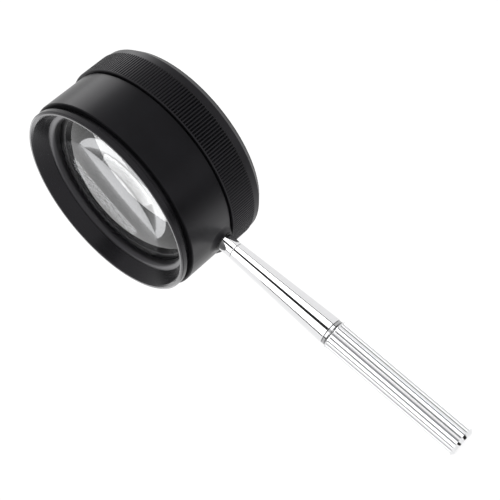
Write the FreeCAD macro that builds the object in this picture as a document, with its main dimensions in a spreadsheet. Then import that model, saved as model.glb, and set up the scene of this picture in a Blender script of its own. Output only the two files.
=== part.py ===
"""Hand loupe with a fluted metal handle, in millimetres.

The drum's optical axis is +Z and the eye end's flat face is z = 0, with the origin on the axis.
The handle points along +X. Every size is a cell of the sheet named sizes.
"""

import FreeCAD, Part
import math
import os
import re

import Sketcher

SIZES = {
    # drum outside
    "barrel_radius": 30.0,
    "barrel_bottom": 12.65,
    "barrel_front": 26.95,
    "barrel_edge_chamfer": 0.2,
    "bezel_neck_radius": 28.4,
    "bead_radius": 29.47,
    "bead_bottom": 28.5,
    "rim_top": 30.26,
    "rim_inner_radius": 28.0,
    "rim_edge": 0.4,
    # knurled ring at the eye end
    "ring_radius": 30.88,
    "ring_top": 12.25,
    "ring_edge": 0.25,
    "land_radius": 30.5,
    "foot_radius": 29.0,
    "foot_chamfer": 1.75,
    "knurl_bottom": 3.9,
    "knurl_top": 11.95,
    "knurl_depth": 0.38,
    "knurl_half_width": 0.4,
    "knurl_count": 216.0,
    # stepped bores, from the eye end up
    "eye_flare_radius": 26.0,
    "eye_flare_height": 2.0,
    "eye_radius": 23.2,
    "rear_seat": 3.55,
    "rear_cell_radius": 24.55,
    "rear_cell_top": 6.35,
    "rear_retainer_bore": 25.65,
    "ring_step": 8.4,
    "ring_thread_radius": 28.45,
    "neck_radius": 28.4,
    "neck_bottom": 8.6,
    "hollow_radius": 26.0,
    "shoulder_bottom": 17.3,
    "shoulder_radius": 23.6,
    "shoulder_top": 19.55,
    "front_cell_radius": 25.05,
    "front_cell_top": 23.2,
    "bezel_seat": 24.9,
    "bezel_bore": 28.45,
    # lenses
    "front_lens_radius": 25.0,
    "front_lens_apex": 28.6,
    "front_lens_back": 18.2,
    "front_curve": 60.0,
    "back_curve": 150.0,
    "rear_lens_radius": 24.5,
    "rear_lens_apex": 8.78,
    "rear_lens_back": 1.32,
    "rear_curve": 120.0,
    # rings that hold the lenses
    "front_retainer_bottom": 23.6,
    "front_retainer_top": 26.0,
    "front_retainer_radius": 25.95,
    "front_opening": 24.1,
    "front_retainer_round": 1.6,
    "cushion_thickness": 0.5,
    "cushion_inner_radius": 23.7,
    "rear_retainer_bottom": 6.45,
    "rear_retainer_top": 8.2,
    "rear_retainer_radius": 25.6,
    "rear_opening": 23.8,
    "spanner_slot_width": 1.2,
    "spanner_slot_depth": 0.8,
    # threads, drawn as ring grooves at the pitch
    "drum_pitch": 0.75,
    "drum_thread_depth": 0.4,
    "stud_pitch": 0.7,
    "stud_thread_depth": 0.35,
    # boss and handle, measured along the handle's axis from the drum's axis
    "handle_height": 15.55,
    "boss_root": 29.0,
    "boss_root_radius": 6.1,
    "boss_taper": 62.0,
    "boss_face": 30.6,
    "boss_fillet": 2.5,
    "socket_bottom": 26.9,
    "socket_radius": 2.05,
    "stud_radius": 2.0,
    "stud_tip": 27.3,
    "washer_radius": 2.85,
    "washer_bore": 2.08,
    "shank_start": 30.8,
    "shank_thin_radius": 2.5,
    "neck_mark": 34.9,
    "neck_mark_depth": 0.08,
    "shank_end": 68.74,
    "shank_thick_radius": 3.95,
    "tail_radius": 1.95,
    "tail_end": 79.0,
    "collar_start": 68.9,
    "collar_end": 69.6,
    "collar_radius": 3.75,
    "grip_start": 70.0,
    "grip_chamfer": 0.35,
    "grip_radius": 4.42,
    "grip_end": 112.35,
    "grip_bore_radius": 2.9,
    "grip_bore_start": 80.0,
    "flute_start": 70.5,
    "flute_radius": 0.32,
    "flute_sink": 0.25,
    "flute_count": 24.0,
    "cap_start": 112.37,
    "cap_end": 113.3,
    "cap_chamfer": 0.9,
    "plug_radius": 2.85,
    "plug_start": 106.0,
    # play between pieces that screw or slip together
    "play": 0.05,
}

doc = FreeCAD.newDocument("loupe")
sheet = doc.addObject("Spreadsheet::Sheet", "sizes")
for row, (alias, size) in enumerate(SIZES.items(), start=1):
    sheet.set(f"A{row}", str(size))
    sheet.setAlias(f"A{row}", alias)
doc.recompute()


def from_sheet(formula):
    """The formula with every word in it read from the sheet."""
    return re.sub(r"[a-z_]{2,}", r"sizes.\g<0>", formula)


def value(formula):
    """The formula's number at the sheet's present sizes."""
    result = sheet.evalExpression(from_sheet(formula))
    return float(getattr(result, "Value", result))


def bind(thing, **formulas):
    """Ties properties of a document object to the sheet."""
    for name, formula in formulas.items():
        thing.setExpression(name, from_sheet(formula))


def new_body(label, height=None):
    """A body on the drum's axis, or lifted so that its own X axis is the handle's."""
    body = doc.addObject("PartDesign::Body", label)
    body.Label = label
    if height:
        body.setExpression(".Placement.Base.z", from_sheet(height))
    return body


def origin_plane(body, role):
    """One of the body's own origin planes."""
    return next(item for item in body.Origin.OriginFeatures if item.Role == role)


def new_sketch(body, role, offset=None):
    """An empty sketch on an origin plane, moved along the plane's normal by the offset."""
    sketch = body.newObject("Sketcher::SketchObject", body.Label + "_sketch")
    sketch.AttachmentSupport = (origin_plane(body, role), [""])
    sketch.MapMode = "FlatFace"
    if offset:
        sketch.setExpression(".AttachmentOffset.Base.z", from_sheet(offset))
    return sketch


def tie_point(sketch, geometry, point, across, up):
    """Holds one point of a sketch at two distances from the sketch's origin."""
    for kind, formula in (("DistanceX", across), ("DistanceY", up)):
        rule = Sketcher.Constraint(kind, -1, 1, geometry, point, value(formula))
        index = sketch.addConstraint(rule)
        sketch.setExpression(f"Constraints[{index}]", from_sheet(formula))


def outline(body, corners, role="XZ_Plane", offset=None):
    """A closed outline of straight lines through the corners, each a pair of formulas."""
    sketch = new_sketch(body, role, offset)
    points = [FreeCAD.Vector(value(across), value(up), 0) for across, up in corners]
    for start, end in zip(points, points[1:] + points[:1]):
        sketch.addGeometry(Part.LineSegment(start, end), False)
    for index, (across, up) in enumerate(corners):
        before = (index - 1) % len(corners)
        sketch.addConstraint(Sketcher.Constraint("Coincident", before, 2, index, 1))
        tie_point(sketch, index, 1, across, up)
    return sketch


def circle(body, radius, across, up, role="YZ_Plane", offset=None):
    """A sketch that holds one circle."""
    sketch = new_sketch(body, role, offset)
    centre = FreeCAD.Vector(value(across), value(up), 0)
    sketch.addGeometry(Part.Circle(centre, FreeCAD.Vector(0, 0, 1), value(radius)), False)
    index = sketch.addConstraint(Sketcher.Constraint("Radius", 0, value(radius)))
    sketch.setExpression(f"Constraints[{index}]", from_sheet(radius))
    tie_point(sketch, 0, 3, across, up)
    return sketch


def turn(body, corners, axis="V_Axis"):
    """Adds the outline turned all the way round the sketch's axis."""
    sketch = outline(body, corners)
    feature = body.newObject("PartDesign::Revolution", body.Label + "_turned")
    feature.Profile = sketch
    feature.ReferenceAxis = (sketch, [axis])
    feature.Angle = 360
    return feature


def turn_away(body, corners, axis="V_Axis"):
    """Cuts the outline turned all the way round the sketch's axis."""
    sketch = outline(body, corners)
    feature = body.newObject("PartDesign::Groove", body.Label + "_groove")
    feature.Profile = sketch
    feature.ReferenceAxis = (sketch, [axis])
    feature.Angle = 360
    return feature


def pad(body, sketch, length):
    """Adds the sketch pushed out along its plane's normal."""
    feature = body.newObject("PartDesign::Pad", body.Label + "_pad")
    feature.Profile = sketch
    bind(feature, Length=length)
    return feature


def pocket(body, sketch, length, backwards):
    """Cuts the sketch through a length of the body, and makes sure that it cut something."""
    doc.recompute()
    before = body.Shape.Volume
    feature = body.newObject("PartDesign::Pocket", body.Label + "_pocket")
    feature.Profile = sketch
    feature.Reversed = backwards
    bind(feature, Length=length)
    doc.recompute()
    assert body.Shape.Volume < before, body.Label + " pocket cuts nothing"
    return feature


def repeat_round(body, feature, role, count):
    """Repeats a feature evenly all the way round one of the body's own axes."""
    pattern = body.newObject("PartDesign::PolarPattern", body.Label + "_round")
    pattern.Originals = [feature]
    pattern.Axis = (origin_plane(body, role), [""])
    pattern.Angle = 360
    bind(pattern, Occurrences=count)
    body.Tip = pattern


def thread(body, axis, radius, start, length, pitch, depth):
    """V grooves at the thread's pitch round a shaft along the sketch's axis."""
    half = f"{pitch} / 2"
    lowest, middle, highest = f"{start}", f"{start} + {half}", f"{start} + {pitch}"
    valley = f"{radius} - {depth}"
    outside = f"{radius} + {depth} / 10"
    corners = [(outside, lowest), (valley, middle), (outside, highest)]
    role = "Z_Axis"
    if axis == "H_Axis":
        corners = [(along, out) for out, along in corners]
        role = "X_Axis"
    groove = turn_away(body, corners, axis)
    pattern = body.newObject("PartDesign::LinearPattern", body.Label + "_thread")
    pattern.Originals = [groove]
    pattern.Direction = (origin_plane(body, role), [""])
    turns = int(value(f"({length}) / {pitch}"))
    pattern.Occurrences = turns
    pattern.setExpression("Length", from_sheet(f"{pitch} * {turns - 1}"))
    body.Tip = pattern


def round_edges(body, radius, wanted):
    """Fillets the edges whose middle points are wanted."""
    doc.recompute()
    edges = []
    for number, edge in enumerate(body.Shape.Edges, start=1):
        if wanted(edge.valueAt((edge.FirstParameter + edge.LastParameter) / 2)):
            edges.append(f"Edge{number}")
    assert edges, body.Label + " has no such edge"
    solid = body.Tip
    fillet = body.newObject("PartDesign::Fillet", body.Label + "_fillet")
    fillet.Base = (solid, edges)
    bind(fillet, Radius=radius)


def lens(label, radius, front_apex, front_curve, back_apex, back_curve):
    """A glass disc bounded by two spheres on the drum's axis."""
    disc = doc.addObject("Part::Cylinder", label + "_disc")
    bind(disc, Radius=radius, Height=f"{front_apex} - {back_apex}")
    disc.setExpression(".Placement.Base.z", from_sheet(back_apex))
    front = doc.addObject("Part::Sphere", label + "_front_ball")
    bind(front, Radius=front_curve)
    front.setExpression(".Placement.Base.z", from_sheet(f"{front_apex} - {front_curve}"))
    back = doc.addObject("Part::Sphere", label + "_back_ball")
    bind(back, Radius=back_curve)
    back.setExpression(".Placement.Base.z", from_sheet(f"{back_apex} + {back_curve}"))
    both = doc.addObject("Part::Common", label + "_balls")
    both.Base = front
    both.Tool = back
    glass = doc.addObject("Part::Common", label)
    glass.Label = label
    glass.Base = disc
    glass.Tool = both
    return glass


def flat_ring(label, inner, outer, bottom, top):
    """A plain ring on the drum's axis."""
    body = new_body(label)
    turn(body, [(inner, bottom), (outer, bottom), (outer, top), (inner, top)])
    return body


def meets_the_flare(point):
    """True on the curve where the flare of the boss leaves the barrel's outside."""
    on_barrel = abs(math.hypot(point.x, point.y) - value("barrel_radius")) < 0.01
    from_handle = math.hypot(point.y, point.z - value("handle_height"))
    return on_barrel and point.x > 0 and from_handle < value("boss_root_radius")


def make_barrel():
    """The middle of the drum, with the boss that the handle screws into."""
    body = new_body("barrel")
    turn(body, [
        ("hollow_radius", "neck_bottom"),
        ("barrel_radius", "neck_bottom"),
        ("barrel_radius", "barrel_front - barrel_edge_chamfer"),
        ("barrel_radius - barrel_edge_chamfer", "barrel_front"),
        ("bezel_bore", "barrel_front"),
        ("bezel_bore", "bezel_seat"),
        ("front_retainer_radius + play", "bezel_seat"),
        ("front_retainer_radius + play", "front_cell_top"),
        ("front_cell_radius", "front_cell_top"),
        ("front_cell_radius", "shoulder_top"),
        ("shoulder_radius", "shoulder_top"),
        ("shoulder_radius", "shoulder_bottom + 0.6"),
        ("hollow_radius", "shoulder_bottom"),
    ])
    boss = circle(body, "boss_root_radius", "0", "handle_height", offset="boss_root")
    flare = pad(body, boss, "boss_face - boss_root")
    bind(flare, TaperAngle="0 - boss_taper")
    round_edges(body, "boss_fillet", meets_the_flare)
    turn_away(body, [
        ("neck_radius", "neck_bottom - 1"),
        ("boss_face + 2", "neck_bottom - 1"),
        ("boss_face + 2", "barrel_bottom"),
        ("neck_radius", "barrel_bottom"),
    ])
    socket = circle(body, "socket_radius", "0", "handle_height", offset="boss_face")
    pocket(body, socket, "boss_face - socket_bottom", False)
    thread(body, "V_Axis", "neck_radius", "neck_bottom + 0.3", "barrel_bottom - neck_bottom - 0.5",
           "drum_pitch", "drum_thread_depth")
    return body


def make_front_bezel():
    """The turned rim: a bead outside, a cone inside and a skirt screwed into the barrel."""
    body = new_body("front_bezel")
    turn(body, [
        ("hollow_radius", "bezel_seat + play"),
        ("bezel_neck_radius", "bezel_seat + play"),
        ("bezel_neck_radius", "bead_bottom - rim_edge"),
        ("bead_radius - rim_edge / 2", "bead_bottom"),
        ("bead_radius", "bead_bottom + rim_edge / 2"),
        ("bead_radius", "rim_top - rim_edge"),
        ("bead_radius - rim_edge / 2", "rim_top - rim_edge / 2"),
        ("bead_radius - 1.4 * rim_edge", "rim_top"),
        ("rim_inner_radius + rim_edge", "rim_top"),
        ("rim_inner_radius", "rim_top - rim_edge"),
        ("hollow_radius", "front_retainer_top"),
    ])
    return body


def make_knurled_ring():
    """The ring that screws onto the barrel's neck and carries the rear lens."""
    body = new_body("knurled_ring")
    turn(body, [
        ("eye_flare_radius", "0"),
        ("foot_radius", "0"),
        ("land_radius", "foot_chamfer"),
        ("land_radius", "knurl_bottom"),
        ("ring_radius", "knurl_bottom"),
        ("ring_radius", "ring_top - ring_edge"),
        ("ring_radius - ring_edge", "ring_top"),
        ("ring_thread_radius", "ring_top"),
        ("ring_thread_radius", "ring_step"),
        ("rear_retainer_bore", "ring_step"),
        ("rear_retainer_bore", "rear_cell_top"),
        ("rear_cell_radius", "rear_cell_top"),
        ("rear_cell_radius", "rear_seat"),
        ("eye_radius", "rear_seat"),
        ("eye_radius", "eye_flare_height"),
    ])
    notch = outline(body, [
        ("ring_radius - knurl_depth", "0"),
        ("ring_radius + knurl_depth / 4", "0 - knurl_half_width"),
        ("ring_radius + knurl_depth / 4", "knurl_half_width"),
    ], role="XY_Plane", offset="knurl_bottom - play")
    cut = pocket(body, notch, "knurl_top - knurl_bottom + play", True)
    repeat_round(body, cut, "Z_Axis", "knurl_count")
    return body


def make_front_retainer():
    """The ring that holds the front lens, well rounded on its inner edge."""
    body = flat_ring("front_retaining_ring", "front_opening", "front_retainer_radius",
                     "front_retainer_bottom", "front_retainer_top")
    round_edges(body, "front_retainer_round", is_retainer_lip)
    return body


def is_retainer_lip(point):
    """True on the front ring's inner top edge."""
    at_top = abs(point.z - value("front_retainer_top")) < 0.01
    return at_top and abs(math.hypot(point.x, point.y) - value("front_opening")) < 0.01


def make_rear_retainer():
    """The ring that holds the rear lens, with two slots for a spanner."""
    body = flat_ring("rear_retaining_ring", "rear_opening", "rear_retainer_radius",
                     "rear_retainer_bottom", "rear_retainer_top")
    slot = outline(body, [
        ("rear_opening - 1", "0 - spanner_slot_width / 2"),
        ("rear_retainer_radius + 1", "0 - spanner_slot_width / 2"),
        ("rear_retainer_radius + 1", "spanner_slot_width / 2"),
        ("rear_opening - 1", "spanner_slot_width / 2"),
    ], role="XY_Plane", offset="rear_retainer_top")
    cut = pocket(body, slot, "spanner_slot_depth", False)
    repeat_round(body, cut, "Z_Axis", "2")
    return body


def make_handle_shank():
    """The tapered shank, with a screwed stud at the drum and a plain tail inside the grip."""
    body = new_body("handle_shank", "handle_height")
    turn(body, [
        ("stud_tip", "0"),
        ("tail_end", "0"),
        ("tail_end", "tail_radius"),
        ("shank_end", "tail_radius"),
        ("shank_end", "shank_thick_radius - 0.12"),
        ("shank_end - 0.12", "shank_thick_radius"),
        ("neck_mark + 0.2", "shank_thin_radius + 0.05"),
        ("neck_mark", "shank_thin_radius - neck_mark_depth"),
        ("neck_mark - 0.2", "shank_thin_radius"),
        ("shank_start + 0.15", "shank_thin_radius"),
        ("shank_start", "shank_thin_radius - 0.15"),
        ("shank_start", "stud_radius"),
        ("stud_tip + 0.4", "stud_radius"),
        ("stud_tip", "stud_radius - 0.4"),
    ], "H_Axis")
    thread(body, "H_Axis", "stud_radius", "stud_tip + 0.4", "shank_start - stud_tip - 0.6",
           "stud_pitch", "stud_thread_depth")
    return body


def handle_ring(label, start, end, inner, outer):
    """A plain ring round the handle's axis."""
    body = new_body(label, "handle_height")
    turn(body, [(start, inner), (end, inner), (end, outer), (start, outer)], "H_Axis")
    return body


def make_handle_grip():
    """The fluted grip: a tube closed at its inner end, where the shank's tail is fixed."""
    body = new_body("handle_grip", "handle_height")
    turn(body, [
        ("grip_start", "tail_radius + play"),
        ("grip_bore_start", "tail_radius + play"),
        ("grip_bore_start", "grip_bore_radius"),
        ("grip_end", "grip_bore_radius"),
        ("grip_end", "grip_radius"),
        ("grip_start + grip_chamfer", "grip_radius"),
        ("grip_start", "grip_radius - grip_chamfer"),
    ], "H_Axis")
    flute = circle(body, "flute_radius", "0", "grip_radius + flute_radius - flute_sink",
                   offset="flute_start")
    cut = pocket(body, flute, "grip_end - flute_start + play", True)
    repeat_round(body, cut, "X_Axis", "flute_count")
    return body


def make_handle_end_cap():
    """The plain band at the grip's end, with a plug pressed into the tube."""
    body = new_body("handle_end_cap", "handle_height")
    turn(body, [
        ("plug_start", "0"),
        ("cap_end", "0"),
        ("cap_end", "grip_radius - cap_chamfer"),
        ("cap_end - cap_chamfer", "grip_radius"),
        ("cap_start", "grip_radius"),
        ("cap_start", "plug_radius"),
        ("plug_start", "plug_radius"),
    ], "H_Axis")
    return body


def make_all():
    """Every sub-part of the loupe, from the front of the drum to the end of the handle."""
    return [
        make_front_bezel(),
        make_front_retainer(),
        lens("front_lens", "front_lens_radius", "front_lens_apex", "front_curve",
             "front_lens_back", "back_curve"),
        flat_ring("front_lens_cushion", "cushion_inner_radius", "front_lens_radius",
                  "shoulder_top", "shoulder_top + cushion_thickness"),
        make_barrel(),
        make_rear_retainer(),
        lens("rear_lens", "rear_lens_radius", "rear_lens_apex", "rear_curve",
             "rear_lens_back", "rear_curve"),
        make_knurled_ring(),
        handle_ring("handle_washer", "boss_face", "shank_start", "washer_bore", "washer_radius"),
        make_handle_shank(),
        handle_ring("handle_collar", "collar_start", "collar_end", "tail_radius + play",
                    "collar_radius"),
        make_handle_grip(),
        make_handle_end_cap(),
    ]


def check(parts):
    """Stops if any object failed to rebuild or any sub-part is not one good solid."""
    for item in doc.Objects:
        assert not {"Invalid", "Error"} & set(item.State), item.Label
    for part in parts:
        shape = part.Shape
        assert not shape.isNull() and shape.isValid(), part.Label
        assert len(shape.Solids) == 1, part.Label


def main():
    parts = make_all()
    doc.recompute()
    check(parts)
    os.makedirs("parts", exist_ok=True)
    for part in parts:
        part.Shape.exportStep(f"parts/{part.Label}.step")
        print(f"{part.Label:24s}{part.Shape.Volume:10.1f} mm3")


main()
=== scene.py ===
"""The loupe's looks: materials, finely turned lenses, a studio of white light, and the camera.

Everything is in metres in the frame's own axes: +Z is the optical axis and +X the handle.
"""

import math

import bmesh
import bpy
from mathutils import Matrix, Vector


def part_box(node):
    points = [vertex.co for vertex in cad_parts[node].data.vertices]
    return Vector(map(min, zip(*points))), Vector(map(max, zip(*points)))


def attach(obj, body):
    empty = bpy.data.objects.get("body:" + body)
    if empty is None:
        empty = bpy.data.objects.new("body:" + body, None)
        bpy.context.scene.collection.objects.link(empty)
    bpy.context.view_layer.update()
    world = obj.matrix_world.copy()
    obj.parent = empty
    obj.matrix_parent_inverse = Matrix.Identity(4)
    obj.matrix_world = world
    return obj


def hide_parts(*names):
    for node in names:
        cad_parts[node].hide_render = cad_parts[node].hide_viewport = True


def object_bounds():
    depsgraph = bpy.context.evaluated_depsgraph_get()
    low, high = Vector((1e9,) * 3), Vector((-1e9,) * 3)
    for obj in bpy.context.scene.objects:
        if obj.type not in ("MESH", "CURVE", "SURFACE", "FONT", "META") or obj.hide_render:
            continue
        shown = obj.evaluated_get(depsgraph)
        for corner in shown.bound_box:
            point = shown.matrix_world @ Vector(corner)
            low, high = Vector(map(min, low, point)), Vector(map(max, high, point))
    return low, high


MM = 0.001

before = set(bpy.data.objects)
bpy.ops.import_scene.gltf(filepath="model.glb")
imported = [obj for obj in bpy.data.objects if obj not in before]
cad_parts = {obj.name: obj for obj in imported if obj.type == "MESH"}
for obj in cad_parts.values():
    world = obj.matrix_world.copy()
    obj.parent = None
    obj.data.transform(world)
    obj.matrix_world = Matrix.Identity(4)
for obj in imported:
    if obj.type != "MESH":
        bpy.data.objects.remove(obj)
cad_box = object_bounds()


def centre_of(node):
    """The middle of a node's box."""
    low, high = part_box(node)
    return (Vector(low) + Vector(high)) / 2


def half_width(node, axis):
    """Half of a node's box along one axis, which is the radius of a turned part."""
    low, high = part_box(node)
    return (high[axis] - low[axis]) / 2


# a point on the handle's axis, the grip's radius, and the nodes that are bright metal
HANDLE = centre_of("handle_grip")
GRIP_RADIUS = half_width("handle_grip", 1)
HANDLE_NODES = ("handle_shank", "handle_collar", "handle_grip", "handle_end_cap")

# radii of curvature of the lenses' faces, and how finely the lenses are turned
FRONT_CURVE = 60 * MM
BACK_CURVE = 150 * MM
REAR_CURVE = 120 * MM
LENS_STEPS = 60
LENS_SEGMENTS = 192

# a lens face is polished where its normal leans towards the axis by more than this cosine
POLISHED_SLOPE = 0.5

# how much a pattern is squeezed along X, Y and Z, so that its marks run one way
ROUND_THE_DRUM = (0.25, 0.25, 9.0)
ALONG_THE_HANDLE = (0.05, 1.0, 1.0)

# where a ramp between two colours starts and ends
RAMP_ENDS = (0.3, 0.7)

# depths below a part's outside: where a bore is dull, and between which a flute's bottom fades into
# painted shade
BARREL_WALL = 1.2 * MM
RING_WALL = 2.5 * MM
FLUTE_NO_SHADE_DEPTH = 0.12 * MM
FLUTE_FULL_SHADE_DEPTH = 0.22 * MM

# grey shades, and the roughness of everything that is quite dull
CHROME_SHADE = 0.74
# the collar's chrome is darkened as painted shade, standing for the dark gaps at its two edges
COLLAR_PAINTED_SHADE = 0.40
FLOOR_SHADE = 0.96
CARD_SHADE = 0.004
MATT = 0.9

# the floor below the loupe, and the cards off the handle's end
FLOOR_SIZE = 8.0
FLOOR_DROP = 0.16
END_CARD_SIZE = 0.10
END_CARD_DISTANCE = 0.25

# brightness of the surroundings and of the handle's panels
ROOM_LIGHT = 1.1
HANDLE_LIGHT = 1.9

# the camera's angle about Z and above the ground, its roll, and how it frames the loupe
CAMERA_AZIMUTH = math.radians(161.7)
CAMERA_ELEVATION = math.radians(25.54)
CAMERA_ROLL = math.radians(131.7)
CAMERA_DISTANCE = 0.3854
CAMERA_AIM = Vector((0.0380, 0.0018, 0.0135))
CAMERA_LENS = 104.5
CAMERA_SENSOR = 36.0


# ---------------------------------------------------------------- node helpers

def new_material(name):
    """A node material, its tree and its shader."""
    material = bpy.data.materials.new(name)
    material.use_nodes = True
    return material, material.node_tree, material.node_tree.nodes["Principled BSDF"]


def add_node(tree, kind, **settings):
    """A node with its own properties or named inputs set; _ stands for a space in an input's name."""
    node = tree.nodes.new(kind)
    for name, setting in settings.items():
        if hasattr(node, name):
            setattr(node, name, setting)
        else:
            node.inputs[name.replace("_", " ")].default_value = setting
    return node


def object_place(tree, squeeze=(1, 1, 1)):
    """The point's place in the frame, in millimetres, times the squeeze along each axis."""
    place = add_node(tree, "ShaderNodeTexCoord")
    scale = add_node(tree, "ShaderNodeMapping")
    scale.inputs["Scale"].default_value = [factor / MM for factor in squeeze]
    tree.links.new(place.outputs["Object"], scale.inputs["Vector"])
    return scale.outputs["Vector"]


def noise(tree, where, size):
    """Noise whose grains are about size millimetres across."""
    grains = add_node(tree, "ShaderNodeTexNoise", Scale=1 / size, Detail=4.0)
    tree.links.new(where, grains.inputs["Vector"])
    return grains.outputs["Fac"]


def between(tree, factor, low, high):
    """The factor carried from 0..1 to low..high."""
    span = add_node(tree, "ShaderNodeMapRange", To_Min=low, To_Max=high)
    tree.links.new(factor, span.inputs["Value"])
    return span.outputs["Result"]


def two_colours(tree, factor, dark, light):
    """A colour that goes from dark to light with the factor."""
    ramp = add_node(tree, "ShaderNodeValToRGB")
    for stop, position, colour in zip(ramp.color_ramp.elements, RAMP_ENDS, (dark, light)):
        stop.position = position
        stop.color = (*colour, 1)
    tree.links.new(factor, ramp.inputs["Fac"])
    return ramp.outputs["Color"]


def bump(tree, height, shader, depth):
    """Small relief, depth metres deep, on a shader's normal."""
    relief = add_node(tree, "ShaderNodeBump", Strength=1.0, Distance=depth)
    tree.links.new(height, relief.inputs["Height"])
    tree.links.new(relief.outputs["Normal"], shader.inputs["Normal"])


def off_axis(tree, centre, across, low, high):
    """0 nearer than low to an axis through a centre, and 1 farther than high.

    across holds 1 for the two directions square to that axis and 0 for the one along it.
    """
    place = add_node(tree, "ShaderNodeTexCoord")
    shift = add_node(tree, "ShaderNodeVectorMath", operation="SUBTRACT")
    flat = add_node(tree, "ShaderNodeVectorMath", operation="MULTIPLY")
    away = add_node(tree, "ShaderNodeVectorMath", operation="LENGTH")
    span = add_node(tree, "ShaderNodeMapRange", From_Min=low, From_Max=high)
    shift.inputs[1].default_value = centre
    flat.inputs[1].default_value = across
    tree.links.new(place.outputs["Object"], shift.inputs[0])
    tree.links.new(shift.outputs["Vector"], flat.inputs[0])
    tree.links.new(flat.outputs["Vector"], away.inputs[0])
    tree.links.new(away.outputs["Value"], span.inputs["Value"])
    return span.outputs["Result"]


# ---------------------------------------------------------------- materials

def black_anodised(name, rough, relief, gloss):
    """Satin black anodised aluminium, with fine turning marks round the drum."""
    material, tree, shader = new_material(name)
    marks = noise(tree, object_place(tree, ROUND_THE_DRUM), size=0.6)
    patches = noise(tree, object_place(tree), size=9.0)
    dark = (0.0025, 0.0025, 0.003)
    light = (0.005, 0.005, 0.006)
    faint_violet = (0.96, 0.93, 1.0, 1.0)
    tree.links.new(two_colours(tree, patches, dark, light), shader.inputs["Base Color"])
    tree.links.new(between(tree, marks, rough - 0.05, rough + 0.06), shader.inputs["Roughness"])
    shader.inputs["Specular IOR Level"].default_value = gloss
    shader.inputs["Specular Tint"].default_value = faint_violet
    bump(tree, marks, shader, relief)
    return material


def bright_chrome(name, shade):
    """Bright plate of a grey shade, with the faintest polishing haze along the handle."""
    material, tree, shader = new_material(name)
    haze = noise(tree, object_place(tree, ALONG_THE_HANDLE), size=1.5)
    dark = (shade, shade, shade * 1.015)
    light = (shade * 1.04, shade * 1.04, shade * 1.05)
    tree.links.new(two_colours(tree, haze, dark, light), shader.inputs["Base Color"])
    tree.links.new(between(tree, haze, 0.02, 0.045), shader.inputs["Roughness"])
    shader.inputs["Metallic"].default_value = 1.0
    return material


def fluted_chrome(name, shade):
    """Bright chrome with painted shade darkening the bottom of its flutes."""
    material = bright_chrome(name, shade)
    tree = material.node_tree
    shader = tree.nodes["Principled BSDF"]
    plate = shader.inputs["Base Color"].links[0].from_socket
    # 1 on the lands and 0 in the flute bottoms, where the painted shade goes
    unshaded_lands = off_axis(tree, HANDLE, (0, 1, 1), GRIP_RADIUS - FLUTE_FULL_SHADE_DEPTH, GRIP_RADIUS - FLUTE_NO_SHADE_DEPTH)
    mix = add_node(tree, "ShaderNodeMix", data_type="RGBA")
    # the colour of the painted shade in the flute bottoms
    mix.inputs["A"].default_value = (0.10, 0.10, 0.105, 1)
    tree.links.new(unshaded_lands, mix.inputs["Factor"])
    tree.links.new(plate, mix.inputs["B"])
    tree.links.new(mix.outputs["Result"], shader.inputs["Base Color"])
    return material


def lens_glass(name):
    """Grey-tinted crown glass with a trace of dust on its faces."""
    material, tree, shader = new_material(name)
    dust = noise(tree, object_place(tree), size=2.0)
    tint = two_colours(tree, dust, (0.50, 0.505, 0.515), (0.54, 0.545, 0.555))
    tree.links.new(tint, shader.inputs["Base Color"])
    shader.inputs["Roughness"].default_value = 0.0
    shader.inputs["IOR"].default_value = 1.52
    shader.inputs["Transmission Weight"].default_value = 1.0
    return material


def dull_inside(material, node, wall):
    """Makes a turned part's bore dull, deeper than the wall from its outside."""
    tree = material.node_tree
    shader = tree.nodes["Principled BSDF"]
    outer_roughness = shader.inputs["Roughness"].links[0].from_socket
    radius = half_width(node, 0)
    outside = off_axis(tree, (0, 0, 0), (1, 1, 0), radius - wall, radius - wall / 2)
    mix = add_node(tree, "ShaderNodeMix", data_type="FLOAT")
    mix.inputs["A"].default_value = MATT
    tree.links.new(outside, mix.inputs["Factor"])
    tree.links.new(outer_roughness, mix.inputs["B"])
    tree.links.new(mix.outputs["Result"], shader.inputs["Roughness"])


def dull_black(name, shade, rough):
    """Dull black rubber, fibre or paint with a fine grain."""
    material, tree, shader = new_material(name)
    grain = noise(tree, object_place(tree), size=0.3)
    dark = (shade, shade, shade)
    light = (shade * 1.8, shade * 1.8, shade * 1.8)
    tree.links.new(two_colours(tree, grain, dark, light), shader.inputs["Base Color"])
    tree.links.new(between(tree, grain, rough - 0.08, rough + 0.08), shader.inputs["Roughness"])
    bump(tree, grain, shader, depth=0.01 * MM)
    return material


def give(node, material):
    """Puts a material on a CAD node."""
    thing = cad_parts[node]
    thing.data.materials.clear()
    thing.data.materials.append(material)


def dress_nodes():
    """A material for every CAD node that shows."""
    barrel = black_anodised("barrel_anodised", rough=0.30, relief=0.0010 * MM, gloss=0.14)
    bezel = black_anodised("bezel_anodised", rough=0.26, relief=0.0008 * MM, gloss=0.25)
    ring = black_anodised("ring_anodised", rough=0.38, relief=0.0010 * MM, gloss=0.26)
    inner = black_anodised("inner_anodised", rough=0.36, relief=0.0010 * MM, gloss=0.45)
    chrome = bright_chrome("bright_chrome", CHROME_SHADE)
    dull_inside(barrel, "barrel", BARREL_WALL)
    dull_inside(ring, "knurled_ring", RING_WALL)
    give("barrel", barrel)
    give("front_bezel", bezel)
    give("knurled_ring", ring)
    give("front_retaining_ring", inner)
    give("rear_retaining_ring", inner)
    give("handle_shank", chrome)
    give("handle_end_cap", chrome)
    # the grip's flutes carry painted shade at their bottoms
    give("handle_grip", fluted_chrome("fluted_chrome", CHROME_SHADE))
    # the collar is the same chrome darkened with painted shade for the dark gaps beside it
    give("handle_collar", bright_chrome("collar_painted_shade_chrome", COLLAR_PAINTED_SHADE))
    give("front_lens_cushion", dull_black("cushion_rubber", shade=0.01, rough=0.7))
    give("handle_washer", dull_black("washer_fibre", shade=0.006, rough=0.55))


# ---------------------------------------------------------------- lenses

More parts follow.
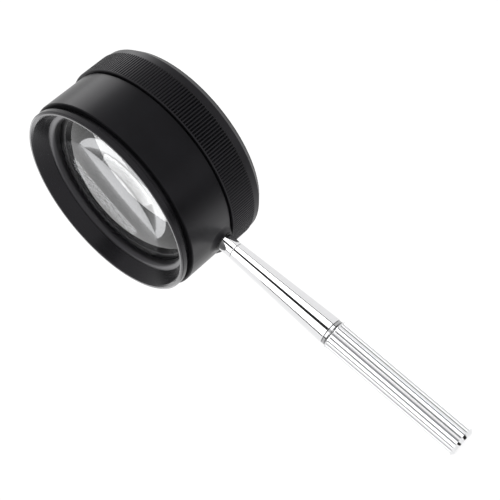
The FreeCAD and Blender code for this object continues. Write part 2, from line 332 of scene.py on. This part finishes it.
def cap_height(curve, radius):
    """How far a sphere falls away at a distance from its axis."""
    return curve - math.sqrt(curve * curve - radius * radius)


def lens_faces(node, front_curve, back_curve):
    """A lens's front and back face, as radius and height pairs from the axis outwards."""
    low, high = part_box(node)
    radius = half_width(node, 0)
    steps = [radius * step / LENS_STEPS for step in range(LENS_STEPS + 1)]
    front = [(out, high[2] - cap_height(front_curve, out)) for out in steps]
    back = [(out, low[2] + cap_height(back_curve, out)) for out in steps]
    return front, back


def turned_cap(shape, profile):
    """Turns a profile that starts on the axis into a shallow cap."""
    turns = [2 * math.pi * step / LENS_SEGMENTS for step in range(LENS_SEGMENTS)]
    rings = []
    for radius, height in profile[1:]:
        rings.append([shape.verts.new((radius * math.cos(turn), radius * math.sin(turn), height))
                      for turn in turns])
    middle = shape.verts.new((0, 0, profile[0][1]))
    for step in range(LENS_SEGMENTS):
        after = (step + 1) % LENS_SEGMENTS
        shape.faces.new((middle, rings[0][step], rings[0][after]))
        for inner, outer in zip(rings, rings[1:]):
            shape.faces.new((inner[step], outer[step], outer[after], inner[after]))


def make_lens(node, body, front_curve, back_curve, materials):
    """A finely turned lens in place of the CAD one, with polished faces and a blackened edge."""
    shape = bmesh.new()
    for face_profile in lens_faces(node, front_curve, back_curve):
        turned_cap(shape, face_profile)
    rims = [edge for edge in shape.edges if edge.is_boundary]
    bmesh.ops.bridge_loops(shape, edges=rims)
    bmesh.ops.recalc_face_normals(shape, faces=shape.faces)
    for face in shape.faces:
        face.smooth = abs(face.normal.z) > POLISHED_SLOPE
        face.material_index = 0 if face.smooth else 1
    mesh = bpy.data.meshes.new(node + "_ground")
    shape.to_mesh(mesh)
    shape.free()
    for material in materials:
        mesh.materials.append(material)
    piece = bpy.data.objects.new(node + "_ground", mesh)
    bpy.context.collection.objects.link(piece)
    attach(piece, body)
    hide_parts(node)
    return piece


def make_lenses():
    """Both lenses, as a list."""
    materials = (lens_glass("lens_glass"), dull_black("lens_edge_black", shade=0.01, rough=0.7))
    return [
        make_lens("front_lens", "drum", FRONT_CURVE, BACK_CURVE, materials),
        make_lens("rear_lens", "rear_lens", REAR_CURVE, REAR_CURVE, materials),
    ]


# ---------------------------------------------------------------- studio

def facing(place, target):
    """The turn that points a thing's -Z axis from its place to the target."""
    return (Vector(target) - Vector(place)).to_track_quat("-Z", "Y")


def glowing_panel(name, place, target, width, height, brightness, lit):
    """A soft rectangular light that faces the target and shines only on the lit things."""
    light = bpy.data.lights.new(name, "AREA")
    light.shape = "RECTANGLE"
    light.size = width
    light.size_y = height
    light.energy = brightness * width * height * math.pi
    panel = bpy.data.objects.new(name, light)
    panel.location = place
    panel.rotation_mode = "QUATERNION"
    panel.rotation_quaternion = facing(place, target)
    panel.visible_camera = False
    bpy.context.collection.objects.link(panel)
    group = bpy.data.collections.new(name + "_lit")
    for thing in lit:
        group.objects.link(thing)
    panel.light_linking.receiver_collection = group


def plain_sheet(name, width, height, shade):
    """A flat grey rectangle of the studio, centred on the origin and faintly mottled."""
    mesh = bpy.data.meshes.new(name)
    shape = bmesh.new()
    corners = [shape.verts.new((x * width / 2, y * height / 2, 0))
               for x, y in ((-1, -1), (1, -1), (1, 1), (-1, 1))]
    shape.faces.new(corners)
    shape.to_mesh(mesh)
    shape.free()
    sheet = bpy.data.objects.new(name, mesh)
    bpy.context.collection.objects.link(sheet)
    material, tree, shader = new_material(name + "_paint")
    mottle = noise(tree, object_place(tree), size=60.0)
    dark = (shade, shade, shade)
    light = tuple(min(1.0, channel * 1.02) for channel in dark)
    tree.links.new(two_colours(tree, mottle, dark, light), shader.inputs["Base Color"])
    shader.inputs["Roughness"].default_value = MATT
    mesh.materials.append(material)
    return sheet


def make_floor():
    """A pale floor, well below the loupe so that its shadow is faint and soft."""
    floor = plain_sheet("floor", FLOOR_SIZE, FLOOR_SIZE, FLOOR_SHADE)
    floor.location = (0, 0, cad_box[0][2] - FLOOR_DROP)


def beside_handle(low_angle, high_angle, distance, middle):
    """A sheet's place beside the handle, its target and its height, for angles above +Y."""
    turn = math.radians((low_angle + high_angle) / 2)
    height = 2 * distance * math.tan(math.radians((high_angle - low_angle) / 2))
    place = Vector((middle, distance * math.cos(turn), HANDLE.z + distance * math.sin(turn)))
    return place, Vector((middle, 0, HANDLE.z)), height


def handle_panel(name, low_angle, high_angle, distance, start, end):
    """A glowing panel along the handle, from start to end, that shines on the handle only."""
    place, target, height = beside_handle(low_angle, high_angle, distance, (start + end) / 2)
    handle = [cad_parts[node] for node in HANDLE_NODES]
    glowing_panel(name, place, target, end - start, height, HANDLE_LIGHT, handle)


def dark_card(name, place, target, width, height):
    """A dark card that faces the target and is seen only in reflections."""
    card = plain_sheet(name, width, height, CARD_SHADE)
    card.location = place
    card.rotation_mode = "QUATERNION"
    card.rotation_quaternion = facing(place, target)
    card.visible_camera = False
    card.visible_diffuse = False
    card.visible_transmission = False
    card.visible_shadow = False


def handle_card(name, low_angle, high_angle, distance, start, end):
    """A dark card along the handle, from start to end."""
    place, target, height = beside_handle(low_angle, high_angle, distance, (start + end) / 2)
    dark_card(name, place, target, end - start, height)


def end_card(name, angle):
    """A dark card that the end's chamfer mirrors to the camera, at an angle round it above +Y."""
    turn = math.radians(angle)
    chamfer = Vector((1, math.cos(turn), math.sin(turn))).normalized()
    view = towards_camera()
    mirrored = 2 * view.dot(chamfer) * chamfer - view
    end = Vector((cad_box[1][0], 0, HANDLE.z))
    dark_card(name, end + END_CARD_DISTANCE * mirrored, end, END_CARD_SIZE, END_CARD_SIZE)


def make_surroundings():
    """A white room all round."""
    world = bpy.data.worlds.new("white_room")
    world.use_nodes = True
    background = world.node_tree.nodes["Background"]
    background.inputs["Color"].default_value = (1, 1, 1, 1)
    background.inputs["Strength"].default_value = ROOM_LIGHT
    bpy.context.scene.world = world


def make_lights(glass):
    """Softboxes for the glass and the rim, strips for the drum's side, and the handle's panels."""
    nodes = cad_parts
    rim = [nodes["front_bezel"], nodes["front_retaining_ring"]]
    side = [nodes["barrel"], nodes["knurled_ring"]]
    barrel = [nodes["barrel"]]
    drum = (0, 0, 0.02)
    glowing_panel("softbox_top", (-0.121, -0.365, 0.531), drum, 0.65, 0.15, 5.5, glass)
    glowing_panel("softbox_far", (-0.28, -0.85, 0.40), drum, 1.2, 1.0, 2.2, rim)
    glowing_panel("strip_left", (-0.25, 0.036, -0.10), drum, 0.16, 0.14, 2.4, side)
    glowing_panel("strip_right", (0.22, -0.118, -0.10), drum, 0.16, 0.14, 1.4, barrel)
    handle_panel("panel_above", 41, 92, 0.90, -0.50, 0.10)
    handle_panel("panel_front", -27, 14, 0.33, -0.18, 0.12)


def make_cards():
    """Dark cards for the dark lines along the bright handle and the spots on its end."""
    handle_card("card_behind_camera", 18, 38, 0.45, -0.35, -0.064)
    handle_card("card_overhead", 92, 102, 0.45, -0.11, -0.02)
    handle_card("card_low", -34, -27, 0.24, -0.20, 0.20)
    end_card("card_end_high", 38.3)
    end_card("card_end_low", 0.5)


# ---------------------------------------------------------------- camera

def towards_camera():
    """The direction from the loupe to the camera."""
    return Vector((
        math.sin(CAMERA_AZIMUTH) * math.cos(CAMERA_ELEVATION),
        -math.cos(CAMERA_AZIMUTH) * math.cos(CAMERA_ELEVATION),
        math.sin(CAMERA_ELEVATION),
    ))


def make_camera():
    """A long lens that looks down on the rim, turned so that the handle runs down the frame."""
    back = towards_camera()
    lens = bpy.data.cameras.new("camera")
    lens.sensor_width = CAMERA_SENSOR
    lens.lens = CAMERA_LENS
    camera = bpy.data.objects.new("camera", lens)
    camera.rotation_mode = "QUATERNION"
    level = (-back).to_track_quat("-Z", "Y")
    camera.rotation_quaternion = level @ Matrix.Rotation(-CAMERA_ROLL, 3, "Z").to_quaternion()
    camera.location = CAMERA_AIM + back * CAMERA_DISTANCE
    bpy.context.collection.objects.link(camera)
    bpy.context.scene.camera = camera


make_camera()
make_floor()
lenses = make_lenses()
make_surroundings()
make_lights(lenses)
make_cards()
dress_nodes()
bpy.context.scene.view_settings.view_transform = "Standard"
